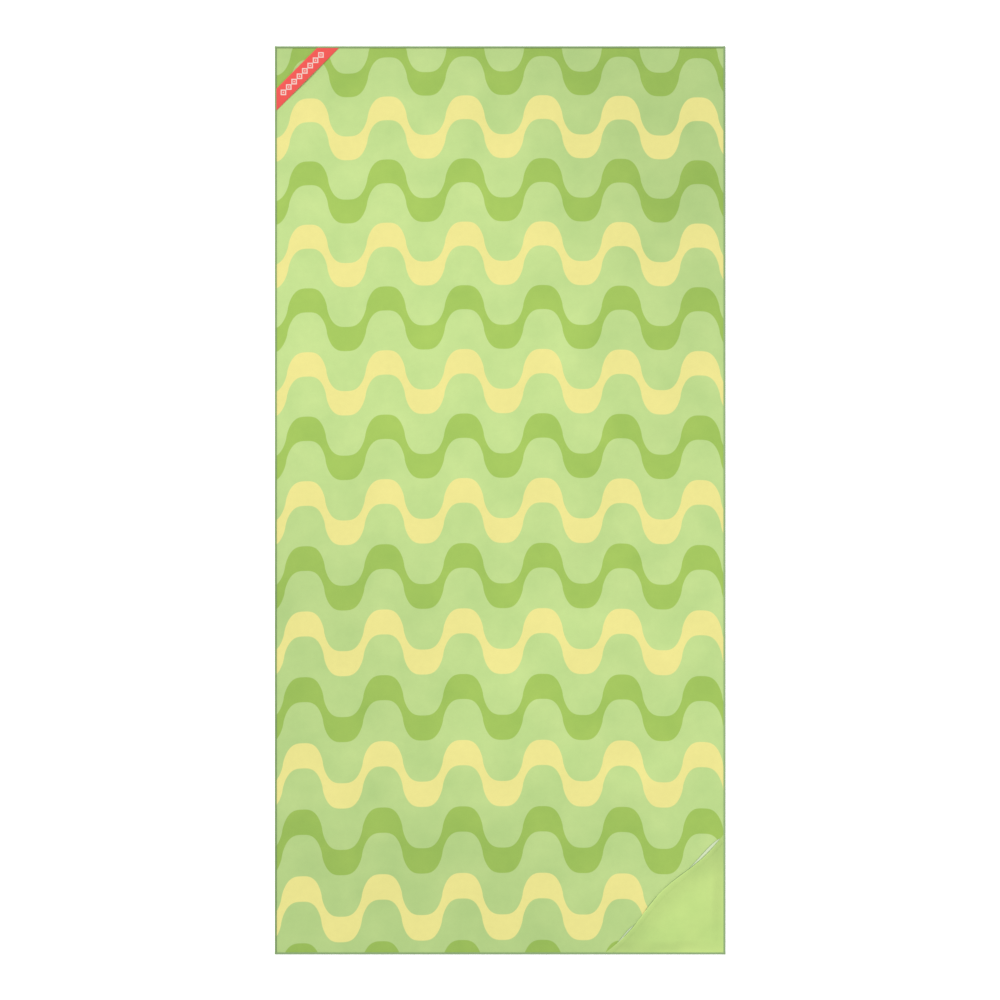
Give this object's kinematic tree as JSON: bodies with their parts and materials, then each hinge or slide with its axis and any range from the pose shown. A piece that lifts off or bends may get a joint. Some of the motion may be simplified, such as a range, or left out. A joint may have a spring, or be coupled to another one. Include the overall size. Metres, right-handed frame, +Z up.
{
  "type": "quick dry towel",
  "caption": "Flat quick dry towel with a wave print, a stitched edging, a ribbon hanging loop across one corner and a patch pocket in the opposite one; it folds across its length.",
  "frame": {"origin": "under the middle of the towel, on the surface that it lies on", "axes": "+X across the towel, +Y along it towards the ribbon's end, +Z up, out of the printed face"},
  "size_m": [0.75, 1.511, 0.0026],
  "materials": {
    "printed_cloth": "matt brushed microfibre, light green with yellow and darker green waves on the face, plain lime on the back",
    "lime_cloth": "matt brushed microfibre, plain lime",
    "edging_thread": "close overlock stitching in grey-green thread",
    "hem_thread": "running stitches in lime sewing thread",
    "red_ribbon": "woven ribbon, warm red with a small white woven pattern",
    "label_satin": "plain off-white satin, blank"
  },
  "bodies": {
    "lower_middle": {"cloth_lower_middle": "printed_cloth", "edging_lower_left": "edging_thread", "edging_lower_right": "edging_thread"},
    "bottom_end": {"cloth_bottom_end": "printed_cloth", "edging_bottom_end": "edging_thread", "pocket_patch": "lime_cloth"},
    "upper_middle": {"cloth_upper_middle": "printed_cloth", "edging_upper_left": "edging_thread", "edging_upper_right": "edging_thread"},
    "top_end": {"cloth_top_end": "printed_cloth", "edging_top_end": "edging_thread", "ribbon_left_end": "red_ribbon", "ribbon_upper_end": "red_ribbon"},
    "ribbon_loop": {"ribbon_middle": "red_ribbon"},
    "pocket_mouth": {"pocket_mouth_hem": "lime_cloth", "pocket_hem_thread": "hem_thread"},
    "care_label": {"care_label": "label_satin"}
  },
  "joints": [
    {"name": "fold_bottom_end", "type": "hinge", "parent": "lower_middle", "child": "bottom_end", "pos_m": [0, -0.37775, 0.0061], "axis": [-1, 0, 0], "range_deg": [0, 179.5]},
    {"name": "fold_middle", "type": "hinge", "parent": "lower_middle", "child": "upper_middle", "pos_m": [0, 0, 0.017], "axis": [1, 0, 0], "range_deg": [0, 179.5]},
    {"name": "fold_top_end", "type": "hinge", "parent": "upper_middle", "child": "top_end", "pos_m": [0, 0.37775, 0.0061], "axis": [1, 0, 0], "range_deg": [0, 179.5]},
    {"name": "ribbon_lift", "type": "slide", "parent": "top_end", "child": "ribbon_loop", "axis": [0, 0, 1], "range_m": [0, 0.005]},
    {"name": "pocket_open", "type": "slide", "parent": "bottom_end", "child": "pocket_mouth", "axis": [0, 0, 1], "range_m": [0, 0.005]},
    {"name": "label_flip", "type": "hinge", "parent": "bottom_end", "child": "care_label", "pos_m": [-0.3708, -0.653, 0], "axis": [0, 1, 0], "range_deg": [0, 170]}
  ]
}
